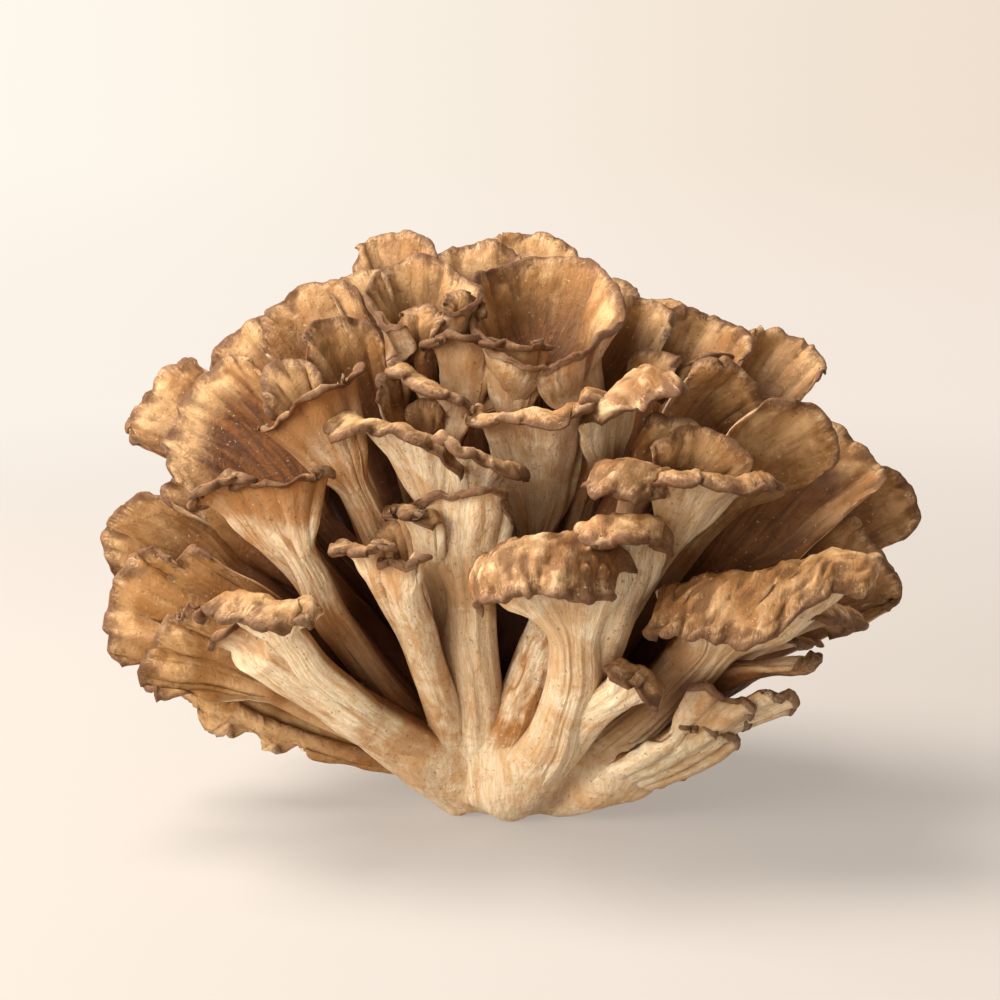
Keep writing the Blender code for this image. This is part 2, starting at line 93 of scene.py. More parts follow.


# Stems and caps that stand at the front, pale under faces outwards
FRONT = [
    Frond("hood", (-3, -14, 7), (15, -42, 43), (3, -55, 88), -95, 57, cap=38, wrap=34, open=0.9, stem=13.5,
          fall=0.4, slant=3, lip=34, curl=134, roll=0.6, waves=1.2, ruffle=1.5, thick=3.0, dark=0.2),
    Frond("hood_right", (-2, -14, 7), (19, -40, 46), (25, -54, 86), -75, 30, cap=30, wrap=30, open=0.9, stem=12,
          fall=0.6, lip=15, curl=125, roll=0.6, thick=2.8),
    Frond("behind", (-7, -13, 7), (5, -27, 38), (15, -33, 64), -100, 18, cap=18, stem=13, lip=4, curl=90, dark=1.6),
    Frond("arch", (-8, -7, 7), (-10, -34, 50), (-11, -52, 90), -92, 34, cap=30, wrap=90, open=0.9, stem=12.5,
          fall=1.1, lip=3.5, curl=100, tan=0.2),
    Frond("arch_left", (-9, -7, 7), (-13, -32, 50), (-24, -49, 86), -135, 14, cap=22, wrap=50, open=1.1, stem=10,
          lip=8, curl=120, roll=0.8),
    Frond("arch_wing", (-11, -6, 9), (-17, -22, 48), (-19, -41, 85), -100, 22, cap=60, wrap=60, open=0.4, stem=10,
          fall=1.0, lip=2, curl=60, tan=0.8, dark=0.7),
    Frond("stub_left", (-12, -8, 8), (-23, -39, 49), (-35, -58, 78), -115, 17, cap=16, open=1.2, stem=7, fall=0.3,
          lip=7, curl=115, roll=0.8, dark=0.9),
    Frond("stub_right", (-12, -8, 8), (-21, -40, 48), (-26, -60, 73), -85, 14, cap=13, wrap=110, open=1.2,
          stem=8.5, fall=0.3, lip=3, curl=85, dark=0.6),
    Frond("wedge", (-7, -6, 10), (-14, -24, 64), (-25, -43, 103), -112, 36, cap=34, wrap=60, stem=8, fall=0.5,
          open=1.2, slant=8, lip=9.5, curl=112, roll=0.7, tan=0.1, thick=1.7),
    Frond("panel", (-7, -6, 10), (-11, -25, 66), (-4, -44, 96), -80, 34, cap=28, wrap=80, open=1.4, fall=0.4,
          slant=5, stem=8, lip=7.5, curl=106, tan=0.2, thick=1.7, dark=0.3, roll=0.8),
    Frond("vase", (-1, -4, 12), (6, -14, 62), (6, -34, 108), -90, 42, cap=44, wrap=120, open=1.0, stem=8, fall=0.1,
          lip=10, curl=112, roll=0.7, ruffle=2.0, waves=2.2, thick=1.7, tan=0.35, slant=-1, dark=0.3),
    Frond("vase_lobe", (3, -4, 20), (17, -14, 74), (30, -30, 119), -35, 36, cap=40, wrap=50, open=0.8, stem=10,
          lip=20, curl=95, roll=0.7, thick=2.0),
    Frond("inner_mid", (0, -2, 40), (0, -6, 88), (1, -12, 118), -90, 19, cap=26, wrap=110, open=0.9, stem=9,
          fall=0.2, curl=105, lip=7, tan=0.8, dark=0.5),
    Frond("inner_left", (-2, -2, 40), (-9, -5, 88), (-12, -6, 118), -100, 20, cap=24, open=1.0, stem=8, fall=0.3,
          lip=6.5, curl=105, roll=0.8, tan=0.8, dark=0.5),
    Frond("slant", (-2, -6, 25), (-13, -14, 78), (-18, -23, 109), -125, 30, cap=28, open=1.2, stem=8, fall=0.4,
          slant=8, lip=8, curl=106, roll=0.8, thick=1.7, tan=0.6, dark=0.5),
    Frond("curl_a", (-6, 0, 60), (-18, 0, 95), (-22, -3, 125), 60, 15, cap=14, wrap=100, stem=6, lip=4, curl=100),
    Frond("curl_b", (-4, 2, 60), (-13, 3, 95), (-13, 1, 128), 120, 13, cap=14, wrap=100, stem=6, lip=4, curl=100),
    Frond("bud_a", (-8, -10, 50), (-17, -15, 82), (-22, -20, 104), 60, 14, wrap=30, stem=7, curl=60),
    Frond("bud_b", (-10, -10, 50), (-24, -14, 85), (-30, -18, 110), 140, 14, wrap=80, stem=7, lip=3, curl=60),
    Frond("right_trumpet", (5, -8, 9), (28, -32, 60), (48, -50, 94), -75, 42, cap=34, wrap=70, open=1.1, stem=9,
          fall=0.4, lip=12, curl=112, roll=0.7, thick=2.0, tan=0.5, slant=-6),
    Frond("right_trumpet_back", (6, -6, 10), (28, -25, 60), (47, -40, 101), 85, 36, cap=28, wrap=110, open=0.9,
          fall=0.7, stem=6, lip=3.5, curl=50, dark=0.3),
    Frond("right_trumpet_lobe", (5, -8, 9), (23, -29, 64), (30, -46, 97), -100, 27, cap=24, wrap=40, stem=8,
          fall=0.5, lip=18, curl=115, roll=0.5, thick=2.6, open=1.0),
    Frond("right_shelf", (7, -9, 7), (44, -31, 44), (54, -53, 73), -90, 76, cap=46, wrap=30, open=1.0, stem=14,
          fall=0.35, slant=-12, lip=25, curl=122, roll=0.6, ruffle=2.0, thick=2.8, dark=0.1),
    Frond("right_low_e", (8, -9, 6), (33, -26, 19), (55, -40, 38), -80, 28, cap=24, wrap=40, fall=0.8, stem=9,
          lip=3, curl=60, roll=0.6, dark=0.4, tan=0.4),
    Frond("right_low_f", (10, -9, 6), (38, -25, 22), (68, -37, 37), -80, 16, cap=26, wrap=30, stem=7, lip=2,
          curl=50, tan=0.1),
    Frond("low_blade", (9, -9, 5), (30, -24, 13), (53, -33, 29), -70, 24, cap=44, wrap=20, open=0.6, stem=9,
          lip=2.5, curl=30, ruffle=2.2, waves=4.5, tan=0.2),
    Frond("right_lobe", (5, -10, 7), (18, -36, 30), (33, -52, 48), -100, 18, wrap=50, fall=0.6, stem=9, lip=12,
          curl=120, roll=0.6),
    Frond("left_trumpet", (-9, -8, 9), (-30, -24, 67), (-49, -34, 107), -82, 36, cap=34, wrap=110, open=1.2,
          stem=8, fall=0.1, lip=5, curl=105, tan=1.0, thick=2.0, dark=1.4),
    Frond("left_trumpet_back", (-9, -6, 10), (-31, -18, 66), (-56, -25, 113), 110, 24, cap=26, wrap=110, open=1.0,
          fall=0.9, stem=6, lip=4, curl=80, dark=0.6),
    Frond("left_flute", (-10, -8, 8), (-42, -31, 52), (-56, -43, 91), -88, 34, cap=28, wrap=100, open=1.4,
          stem=7.5, fall=0.4, lip=5, curl=105, tan=1.0, thick=2.0, dark=1.2),
    Frond("left_flute_tip", (-11, -8, 8), (-43, -28, 54), (-69, -39, 88), -105, 20, cap=26, wrap=60, open=1.4,
          stem=6.5, fall=0.5, lip=8, curl=100, roll=0.9, dark=1.2),
    Frond("left_shelf_stem", (-10, -9, 7), (-45, -36, 37), (-66, -45, 54), -110, 18, cap=18, stem=13, fall=0.6,
          curl=95, lip=5, dark=0.8),
    Frond("left_tongue", (-10, -9, 7), (-46, -42, 43), (-56, -57, 65), -105, 40, cap=26, wrap=30, stem=9, fall=0.5,
          lip=15, curl=120, roll=0.6, thick=3.0, dark=-0.6),
]
# Caps whose brown upper faces look to the front: the middle, the top and the two sides
UPPER = [
    Frond("bowl", (0, 6, 40), (6, 16, 92), (8, 27, 136), 90, 118, cap=30, wrap=350, open=0.8, stem=12, fall=0.8,
          lip=3.5, curl=50, dark=0.4),
    Frond("cup", (-5, 4, 45), (-17, 12, 92), (-26, 18, 136), 95, 70, cap=22, wrap=310, open=0.8, stem=9, fall=0.6,
          lip=3.5, curl=50, dark=0.5),
    Frond("top_left", (-6, 10, 50), (-22, 18, 98), (-31, 38, 141), 95, 32, cap=34, wrap=100, fall=1.0, lip=3.5,
          curl=45),
    Frond("top_mid", (-2, 10, 50), (-6, 20, 94), (-10, 44, 138), 92, 41, cap=36, wrap=95, fall=0.9, lip=3.5, curl=45),
    Frond("top_right", (2, 10, 50), (3, 26, 97), (8, 56, 140), 80, 32, cap=34, wrap=50, slant=-3, lip=3.5, curl=45),
    Frond("back_a", (4, 10, 50), (14, 22, 92), (26, 46, 129), 75, 26, cap=30, wrap=60, lip=3.5, curl=45),
    Frond("back_b", (6, 12, 45), (24, 28, 87), (41, 54, 123), 70, 26, cap=26, wrap=60, lip=3.5, curl=45),
    Frond("ear", (4, 4, 45), (20, 8, 90), (35, 18, 126), 70, 24, cap=32, wrap=110, fall=1.0, lip=3.5, curl=45),
    Frond("ear_low", (5, 2, 40), (24, -2, 82), (37, 4, 116), 50, 16, cap=22, wrap=50, lip=3),
    Frond("right_top", (8, 6, 40), (32, 9, 86), (54, 28, 121), 86, 40, cap=46, wrap=100, fall=1.0, lip=3.5, curl=45),
    Frond("right_back", (10, 8, 30), (46, 16, 78), (74, 36, 113), 90, 36, cap=46, wrap=95, fall=1.0, lip=3.5,
          curl=45, tan=0.9),
    Frond("right_bowl", (12, 2, 15), (51, -2, 61), (83, 10, 94), 96, 46, cap=60, wrap=95, open=0.6, fall=0.7,
          slant=2, lip=3.5, curl=45, tan=0.9, dark=1.0),
    Frond("far_right", (14, 8, 12), (62, 18, 48), (102, 28, 76), 92, 26, cap=34, wrap=50, fall=0.9, lip=3.5,
          curl=45),
    Frond("right_fan", (10, -4, 20), (44, -12, 72), (74, -17, 102), 92, 32, cap=44, wrap=80, open=0.7, fall=1.0,
          lip=3.5, curl=45, tan=0.9, dark=-0.5),
    Frond("right_tongue", (8, 0, 35), (33, -3, 82), (56, -7, 110), 92, 26, cap=36, wrap=50, fall=1.0, lip=4,
          curl=60),
    Frond("right_oval", (6, -6, 25), (24, -17, 72), (43, -29, 100), 65, 20, cap=26, wrap=20, open=0.7, fall=1.0,
          lip=4, curl=60),
    Frond("low_mid_c", (-6, -8, 12), (-20, -18, 46), (-28, -34, 76), 95, 16, cap=24, wrap=60, open=0.8, stem=8,
          lip=5, curl=90),
    Frond("right_low_a", (12, -6, 7), (46, -14, 38), (83, -28, 57), -80, 34, cap=44, wrap=30, fall=0.9, lip=9,
          curl=85, roll=0.6, tan=0.9, dark=0.6),
    Frond("right_low_b", (12, 2, 10), (58, 4, 42), (93, 9, 62), 88, 32, cap=40, wrap=70, lip=4, curl=60, tan=0.9,
          dark=0.7),
    Frond("right_low_c", (12, 0, 10), (58, 0, 38), (98, 3, 57), 85, 16, cap=24, wrap=60, tan=0.9, dark=0.6),
    Frond("right_low_d", (12, -8, 6), (44, -22, 34), (74, -34, 45), 90, 17, cap=32, wrap=50, fall=0.8, lip=3.5,
          curl=60, roll=0.6, tan=0.2, dark=0.5),
    Frond("left_bowl", (-8, -2, 18), (-44, -6, 68), (-82, 3, 102), 84, 50, cap=54, wrap=130, open=0.6, fall=0.6,
          lip=3.5, curl=45, slant=3, tan=0.9, dark=1.1),
    Frond("left_back_a", (-10, 2, 15), (-54, 8, 72), (-93, 18, 101), 88, 38, cap=38, wrap=95, fall=0.7, slant=0,
          lip=3.5, curl=45, tan=0.9, dark=0.6),
    Frond("left_back_b", (-8, 6, 25), (-44, 14, 82), (-71, 26, 116), 92, 34, cap=34, wrap=95, fall=0.9, lip=3.5,
          curl=45),
    Frond("left_fan_a", (-12, -4, 8), (-54, -10, 50), (-98, -12, 74), 86, 36, cap=40, wrap=90, fall=0.8, slant=-1,
          lip=3.5, curl=45, tan=0.9, dark=-0.2),
    Frond("left_fan_b", (-12, -6, 8), (-48, -20, 42), (-83, -27, 66), 86, 26, cap=44, wrap=40, open=0.7, lip=3.5,
          curl=45, tan=0.9, dark=0.5),
    Frond("left_fill", (-10, -4, 8), (-40, -8, 46), (-66, -10, 74), 90, 28, cap=30, wrap=60, open=0.7, lip=3.5,
          curl=45),
    Frond("left_mid", (-10, -4, 14), (-44, -10, 56), (-74, -14, 82), 92, 24, cap=46, wrap=50, open=0.7, lip=3,
          dark=0.6),
    Frond("left_small", (-10, 0, 12), (-50, 0, 58), (-85, 8, 83), 92, 20, cap=24, wrap=60, lip=3),
    Frond("left_blade", (-8, -6, 8), (-36, -16, 48), (-62, -22, 82), -160, 22, cap=46, wrap=40, open=0.6, lip=3),
    Frond("left_shelf", (-10, -8, 7), (-52, -24, 38), (-97, -24, 60), 88, 31, cap=60, wrap=60, open=0.7, fall=0.8,
          stem=14, ruffle=3.0, lip=3.5, curl=45, tan=0.9, dark=-0.8),
    Frond("left_shelf_b", (-10, -8, 7), (-50, -27, 34), (-87, -33, 50), 88, 27, cap=40, wrap=70, open=0.7, lip=3.5,
          curl=60, ruffle=2.6, waves=3.5, tan=0.9, dark=-0.8),
    Frond("left_low", (-10, 2, 8), (-50, 2, 24), (-88, 8, 42), 95, 33, cap=80, wrap=30, open=0.5, lip=3, curl=30,
          ruffle=4.0, waves=4.5, tan=0.9, dark=-0.6),
    Frond("top_dark", (-6, 2, 50), (-24, 5, 94), (-40, 18, 133), 100, 18, cap=28, wrap=80, lip=3, dark=1.0),
    Frond("top_fan", (-8, 2, 40), (-32, 4, 90), (-56, 14, 128), 94, 42, cap=44, wrap=95, fall=0.85, lip=3.5,
          curl=45, dark=0.2),
    Frond("top_blade", (-6, -4, 35), (-28, -8, 82), (-45, -9, 123), 120, 26, cap=38, wrap=110, fall=1.0, lip=3.5,
          curl=45, dark=0.6),
]
# The side away from the front: tiers of fronds, each a ring round the back. Every row gives the count, the first
# and last bearing, the reach from the middle, the height, the width and the height of the root.
BACK_TIERS = [
    (8, 4, 176, 78, 36, 44, 8),
    (8, 12, 166, 84, 63, 44, 12),
    (7, 16, 162, 74, 91, 42, 20),
    (6, 30, 150, 56, 117, 38, 34),
]


def bearing(degrees):
    """The level direction of a bearing."""
    return math.cos(math.radians(degrees)), math.sin(math.radians(degrees))


def back_fronds():
    rng = random.Random(BACK_SEED)
    made = []
    for tier, (count, first, last, reach_out, height, width, low) in enumerate(BACK_TIERS):
        for i in range(count):
            out = first + (last - first) * i / (count - 1) + rng.uniform(-4, 4)
            x, y = bearing(out)
            r = reach_out * rng.uniform(0.94, 1.05)
            z = height + rng.uniform(-9, 9)
            root = (x * 11, y * 9, low)
            crown = (x * r, y * r * 0.98, z)
            mid = (x * r * 0.48, y * r * 0.48, low + (z - low) * 0.62)
            made.append(Frond(f"back_{tier}_{i}", root, mid, crown, out + rng.uniform(-20, 20),
                              width * rng.uniform(0.85, 1.12), cap=0.95 * width, wrap=rng.uniform(50, 110),
                              open=rng.uniform(0.7, 1.0), fall=rng.uniform(0.7, 1.0), lip=rng.uniform(4, 9),
                              curl=rng.uniform(55, 95), ruffle=rng.uniform(1.2, 2.2)))
    return made


# ---- middle surface of a frond ------------------------------------------------------------------------------

def unit(a):
    return a / np.maximum(np.linalg.norm(a, axis=-1, keepdims=True), 1e-9)


def smooth(x):
    x = np.clip(x, 0, 1)
    return x * x * (3 - 2 * x)


def spine(f, t):
    """Points and directions along the middle line of the stem and cap, t from 0 to 1."""
    a, m, c = (np.array(p, float) for p in (f.root, f.mid, f.crown))
    k = 2 * m - 0.5 * (a + c)
    t = t[..., None]
    return (1 - t) ** 2 * a + 2 * t * (1 - t) * k + t ** 2 * c, unit(2 * (1 - t) * (k - a) + 2 * t * (c - k))


def length(f):
    return float(np.linalg.norm(np.diff(spine(f, np.linspace(0, 1, 33))[0], axis=0), axis=1).sum())


def cap_share(f):
    """The part of the frond's length over which it widens."""
    return (f.cap or 0.9 * f.width) / length(f)


def sideways(f, tangent):
    """The direction into the hollow of the cap and the direction across it, carried along without twist."""
    look = np.array([*bearing(f.out), 0])
    first, end = spine(f, np.array([0.0, 1.0]))[1]
    n_end = unit(np.cross(np.cross(look, UP), end))
    bend = np.cross(first, end)
    if np.linalg.norm(bend) < 1e-3:
        n = np.broadcast_to(n_end, tangent.shape)
    else:
        bend = unit(bend)
        n = (n_end @ bend) * bend + (n_end @ np.cross(bend, end)) * np.cross(bend, tangent)
    return n, np.cross(tangent, n)


def widening(f, t):
    """0 on the stem, 1 at the rim."""
    cap = cap_share(f)
    return np.clip((t - 1 + cap) / cap, 0, 1.2)


def stem_flare(t):
    """How much thicker a stem is towards its root."""
    return 1 + 0.35 * (1 - t) ** 3


def surface(f, t, v, grown=None):
    """Middle surface of the flesh: t along the frond, v from -1 to 1 across it, grown how far it has widened."""
    p, tangent = spine(f, t)
    n, s = sideways(f, tangent)
    h = widening(f, t if grown is None else grown)
    half = f.stem / 2 * stem_flare(t)
    half = half + (f.width / 2 - half) * smooth(h / 0.35) * np.maximum(h, 1e-6) ** f.open
    phi = math.radians(f.wrap / 2) * smooth(h * 1.3) + 0.15
    side = half / phi * np.sin(phi * v)
    back = half / phi * (1 - np.cos(phi * v))
    wave = np.sin(math.pi * f.waves * v) + 0.5 * np.sin(math.pi * f.waves * 2.3 * v + 1)
    lift = f.ruffle * smooth(h) * wave * (0.35 + 0.65 * np.abs(v))
    inner = np.cos(phi * v)[..., None] * n - np.sin(phi * v)[..., None] * s
    return p + side[..., None] * s + back[..., None] * n + lift[..., None] * inner


def rim_at(f, v):
    """Where along the frond its rim lies, without the margin that rolls outwards."""
    roll = math.radians(f.curl)
    end = 1 - f.lip * math.sin(min(roll, math.pi / 2)) / roll / length(f)
    phi = math.radians(min(f.wrap, 170) / 2) + 0.01
    x = np.sin(phi * v) / math.sin(phi)
    drop = 1 - np.sqrt(1 - (0.96 * x) ** 2) if f.wrap < FULL_FUNNEL else 0.36 * (1 - np.cos(math.pi * v))
    return end - (f.fall * f.width / 2 * drop - f.slant * v) / length(f)


def flesh_normal(mid):
    return unit(np.cross(np.gradient(mid, axis=0), np.gradient(mid, axis=1)))


def flesh_thickness(f, t, share):
    """From the thick stem to the thin blade of the cap."""
    return f.thick + (0.85 * f.stem * stem_flare(t) - f.thick) * (1 - share) ** 1.5


def cross_section(v, share):
    """Round on the stem, flat with round sides on the cap."""
    return np.sqrt(np.clip(1 - np.abs(v) ** (2 + 8 * share), 0, 1))


# ---- noise --------------------------------------------------------------------------------------------------

def corners():
    return [(dx, dy, dz) for dx in (0, 1) for dy in (0, 1) for dz in (0, 1)]


def corner_weight(f, dx, dy, dz):
    """Share of one corner of a cell at the fractions f of the way across it."""
    return ((f[..., 0] if dx else 1 - f[..., 0]) * (f[..., 1] if dy else 1 - f[..., 1])
            * (f[..., 2] if dz else 1 - f[..., 2]))


def noise(p, seed=0):
    """Smooth noise from -1 to 1 at points of shape (..., 3)."""
    cell = np.floor(p).astype(np.int64)
    f = p - cell
    f = f * f * (3 - 2 * f)
    total = 0.0
    for dx, dy, dz in corners():
        h = ((cell[..., 0] + dx) * 374761393 + (cell[..., 1] + dy) * 668265263
             + (cell[..., 2] + dz) * 1440662683 + seed * 1274126177) & 0x7FFFFFFF
        h = ((h ^ (h >> 13)) * 1274126177) & 0x7FFFFFFF
        value = ((h ^ (h >> 16)) & 0xFFFF) / 32767.5 - 1
        total = total + value * corner_weight(f, dx, dy, dz)
    return total


def flow_noise(across, along, seed, *octaves):
    """Sum of noises on the skin of a frond; each octave is (size across, size along, strength)."""
    total = 0.0
    for k, (wide, long_, strength) in enumerate(octaves):
        p = np.stack([across / wide, along / long_, np.full_like(across, 7.3 * k)], axis=-1)
        total = total + strength * noise(p, seed + k)
    return total


# ---- full-detail fronds -------------------------------------------------------------------------------------

def spacing(f, step):
    """Places of the rows along the frond and of the columns across it."""
    whole, cap = length(f), cap_share(f)
    stem_rows = max(8, int(whole * (1 - cap) / (step * 2.2)))
    cap_rows = max(10, int(whole * cap / (step * 1.25)))
    q = np.concatenate([np.linspace(0, 1 - cap, stem_rows, endpoint=False), np.linspace(1 - cap, 1, cap_rows)])
    girth = f.width * (1 + 0.1 * f.wrap / 180)
    cols = max(14, int(girth / step))
    v = np.linspace(-1, 1, cols + 1)
    v = 0.62 * v + 0.38 * np.sin(v * math.pi / 2)
    return q, v


def rim_outline(f, rim_noise, size):
    """Notches in mm and creases of the rim: rounded lobes with a crease between them."""
    big = np.abs(rim_noise(0, (6.5, 1, 1.0)))
    small = np.abs(rim_noise(3, (2.6, 1, 1.0)))
    lobes = 1.3 * np.minimum(big, 0.45) + 0.8 * np.minimum(small, 0.45)
    swing = rim_noise(27, (8, 1, 1.0 if f.out < 0 else 0.2)) * min(1.0, f.lip / 5)
    notch = (lobes - 0.6 + swing + rim_noise(7, (14, 1, 0.8))) * size * min(1.0, 13 / f.lip)
    creases = np.exp(-(big * 7)) * 0.9 + np.exp(-(small * 6)) * 0.7
    return notch, creases


def rolled_margin(f, v, body, rim, step, hangs, notch, rim_noise):
    """Rows of the margin that rolls outwards from the last row of the body, and where each lies on it."""
    e = 0.02
    end = rim if f.wrap < FULL_FUNNEL else 1 + 0 * rim
    last = body[-1]
    along = unit(last - surface(f, rim - e, v, end - e))
    across = unit(surface(f, rim, np.minimum(v + e, 1), end) - surface(f, rim, np.maximum(v - e, -1), end))
    outward = unit(np.cross(along, across))
    blend = min(0.98, f.lip / 18)   # a long margin hangs as one flap, a short one follows the rim
    along = unit(along * (1 - blend) + along[len(v) // 2] * blend)
    outward = unit(outward * (1 - blend) + outward[len(v) // 2] * blend)
    reach = f.lip * (1 - 0.35 * v ** 2)
    fringe = rim_noise(51, (15, 1, 0.26), (6, 1, 0.24), (2.6, 1, 0.14)) * min(f.lip, 9) + 1.1 * notch * hangs
    frill = rim_noise(31, (12, 1, 0.4), (5, 1, 0.25)) * min(1.0, (4 / f.lip) ** 1.6)

    count = max(4, int(f.lip / (step * 0.9)))
    x = np.linspace(0, 1, count + 1)[1:]
    end_share = min(0.5 * f.thick / f.lip, 0.45)
    end_rows = 1 - end_share * (1 - np.sin(np.radians([0, 25, 48, 68, 82, 90])))
    x = np.concatenate([x[x < 1 - end_share * 1.05], end_rows])
    rows = []
    before = 0.0
    for here in x:
        turn = math.radians(f.curl) * (0.5 * (here + before)) ** f.roll * (1 + frill)
        step_out = reach * (here - before) + fringe * (here ** (1 + 3 * hangs) - before ** (1 + 3 * hangs))
        last = last + (along * np.cos(turn)[:, None] + outward * np.sin(turn)[:, None]) * step_out[:, None]
        rows.append(last[None])
        before = here
    return rows, x, end_share


def skin_places(mid, share):
    """Distances in mm over the skin: from the root, to the rim, and to the nearest edge of the cap."""
    m, n = mid.shape[:2]
    run = np.linalg.norm(np.diff(mid, axis=0), axis=2)
    along = np.concatenate([np.zeros((1, n)), np.cumsum(run, axis=0)])
    to_rim = along[-1:] - along
    side_run = np.linalg.norm(np.diff(mid, axis=1), axis=2)
    across = np.concatenate([np.zeros((m, 1)), np.cumsum(side_run, axis=1)], axis=1)
    across = across - across[:, n // 2][:, None]
    to_side = np.minimum(across - across[:, :1], across[:, -1:] - across) * share + NO_EDGE * (1 - share)
    return along, to_rim, np.minimum(to_rim, to_side + 1.5)


def blade_faces(m, n):
    """Faces of the two skins of a grid, which share its sides and its last row."""
    top = np.arange(m * n).reshape(m, n)
    low = top + m * n
    low[:, 0], low[:, -1], low[-1] = top[:, 0], top[:, -1], top[-1]
    a = np.stack([top[:-1, :-1], top[:-1, 1:], top[1:, 1:], top[1:, :-1]], axis=-1).reshape(-1, 4)
    b = np.stack([low[:-1, :-1], low[1:, :-1], low[1:, 1:], low[:-1, 1:]], axis=-1).reshape(-1, 4)
    return np.concatenate([a, b])


def frond_mesh(f, step):
    """Points, faces and per-point facts of one frond at full detail."""
    seed = zlib.crc32(f.name.encode()) % 9973
    rng = random.Random(seed)
    q, v = spacing(f, step)
    whole = length(f)
    front = 1.0 if f.out < 0 else 0.0
    size = min(1.0, f.width / NARROW)
    hangs = min(max((f.lip - FLAP_FROM) / (FLAP_FULL - FLAP_FROM), 0.0), 1.0)
    arc = v * (f.width / 2)

    def rim_noise(k, *octaves):
        return flow_noise(arc, np.zeros_like(arc), seed + k, *octaves)

    notch, creases = rim_outline(f, rim_noise, size)
    rim = rim_at(f, v) + notch * (1 - 0.8 * hangs) / whole
    t = q[:, None] * rim[None, :]
    scallop = flow_noise(q * whole, 0 * q, seed + 41, (7, 1, 0.05), (3.2, 1, 0.03)) * f.ruffle
    vv = v * (1 + (scallop * smooth(widening(f, q)))[:, None] * np.abs(v) ** 3)
    # a full funnel keeps its width all round
    grown = t if f.wrap < FULL_FUNNEL else np.broadcast_to(q[:, None], t.shape)
    body = surface(f, t, vv, grown)
    margin, x, end_share = rolled_margin(f, v, body, rim, step, hangs, notch, rim_noise)
    mid = np.concatenate([body] + margin)
    t = np.concatenate([t, np.repeat(t[-1:], len(x), 0)])
    grown = np.concatenate([grown, np.repeat(grown[-1:], len(x), 0)])
    lip_x = np.concatenate([np.zeros(len(q)), x])[:, None]
    h = widening(f, grown)
    share = smooth(h * 1.6)
    m, n = mid.shape[:2]
    along, to_rim, edge = skin_places(mid, share)
    across = np.broadcast_to(arc, t.shape)

    def skin(k, *octaves):
        return flow_noise(across, along, seed + k, *octaves)

    def near_rim(distance, power=2):
        return np.exp(-(to_rim / distance) ** power)

    # waves of the blade, stronger towards the rim; a hanging flap has lumps instead
    fade = smooth(1 - to_rim / (0.75 * f.width + 4)) * share
    drape = hangs * smooth((1.5 * f.lip - to_rim) / (0.5 * f.lip))
    wave = skin(5, (12, 30, 0.9), (5.5, 18, 0.4), (2.6, 9, 0.15)) * (1 - drape)
    lobed = skin(6, (9, 9, 0.8), (4, 4.4, 0.6), (2.2, 2.4, 0.4)) * drape
    wave = wave + lobed + skin(4, (20, 16, 1.3)) * drape
    frill = skin(8, (4.5, 30, 0.7 + 0.4 * front), (2.2, 20, 0.45 + 0.15 * front)) * near_rim(3.5)
    frill = frill + skin(9, (4, 4, 0.5), (1.8, 2.2, 0.3)) * near_rim(6)
    mid = mid + flesh_normal(mid) * ((wave * fade + frill * share) * size)[..., None]
    sway = np.stack([noise(mid / 17, 3), noise(mid / 17, 4), noise(mid / 17, 5)], axis=-1)
    mid = mid + sway * (1.4 * smooth(along / 40))[..., None]

    # flesh: a round ribbed stem that thins to a blade with a slightly thicker edge
    normal = flesh_normal(mid)
    hollow = (0.38 + 0.12 * drape) * np.exp(-((edge - 3) / 3) ** 2) * share
    thick = flesh_thickness(f, t, share) * (1 - hollow + 0.25 * np.exp(-(edge / 1.3) ** 2))
    section = cross_section(np.broadcast_to(v, (m, n)), share)
    into = np.clip((lip_x - (1 - end_share)) / end_share, 0, 1)
    half_thick = 0.5 * thick * section * np.sqrt(np.clip(1 - into ** 2, 0, 1))

    calm = section * np.clip(to_rim / 0.8, 0, 1)
    ribs = skin(11, (2.4, 30, 0.5), (1.1, 14, 0.25))
    lumps = noise(mid / 7.5, seed + 17)
    wrinkles = skin(13, (2.6, 11, 0.3), (1.2, 6, 0.2), (5, 7, 0.3))
    pits = skin(15, (3.2, 3.4, 0.35), (1.6, 1.7, 0.22))
    knobs = skin(19, (4, 3.2, 0.6 * front * (f.lip < 12)), (1.9, 2.2, 0.7), (1.1, 1.3, 0.35)) \
        * np.clip(drape + near_rim(6), 0, 1)
    folds = skin(23, (1.8, 6, 0.5)) * near_rim(7) \
        - creases[None] * near_rim(2.5 + 0.07 * f.width, 1.5) * size * (1 - 0.7 * drape)
    over = (wrinkles * (0.4 + 0.6 * fade) * (1 - 0.7 * drape) + pits * (0.4 + 0.8 * drape) + folds + knobs) * share \
        + (ribs * 0.7 + lumps * 0.35) * (1 - share)
    # height of the relief, which also sets painted shade in the folds and a painted highlight on the ridges
    rise = folds + pits * (0.5 + drape) + 0.6 * wrinkles + 0.45 * frill + 0.6 * lobed + knobs
    below = ribs * (1 - 0.65 * share) + lumps * 0.4 * (1 - share) + folds * 0.5 * share
    upper = mid - normal * (half_thick + over * calm * 0.8)[..., None]
    under = mid + normal * (half_thick + below * calm * 0.8)[..., None]
    points = np.concatenate([upper.reshape(-1, 3), under.reshape(-1, 3)])
    points[:, 2] = np.maximum(points[:, 2], 0.15)

    def both(value_up, value_low=None):
        value_low = value_up if value_low is None else value_low
        return np.concatenate([np.broadcast_to(value, (m, n)).ravel() for value in (value_up, value_low)])
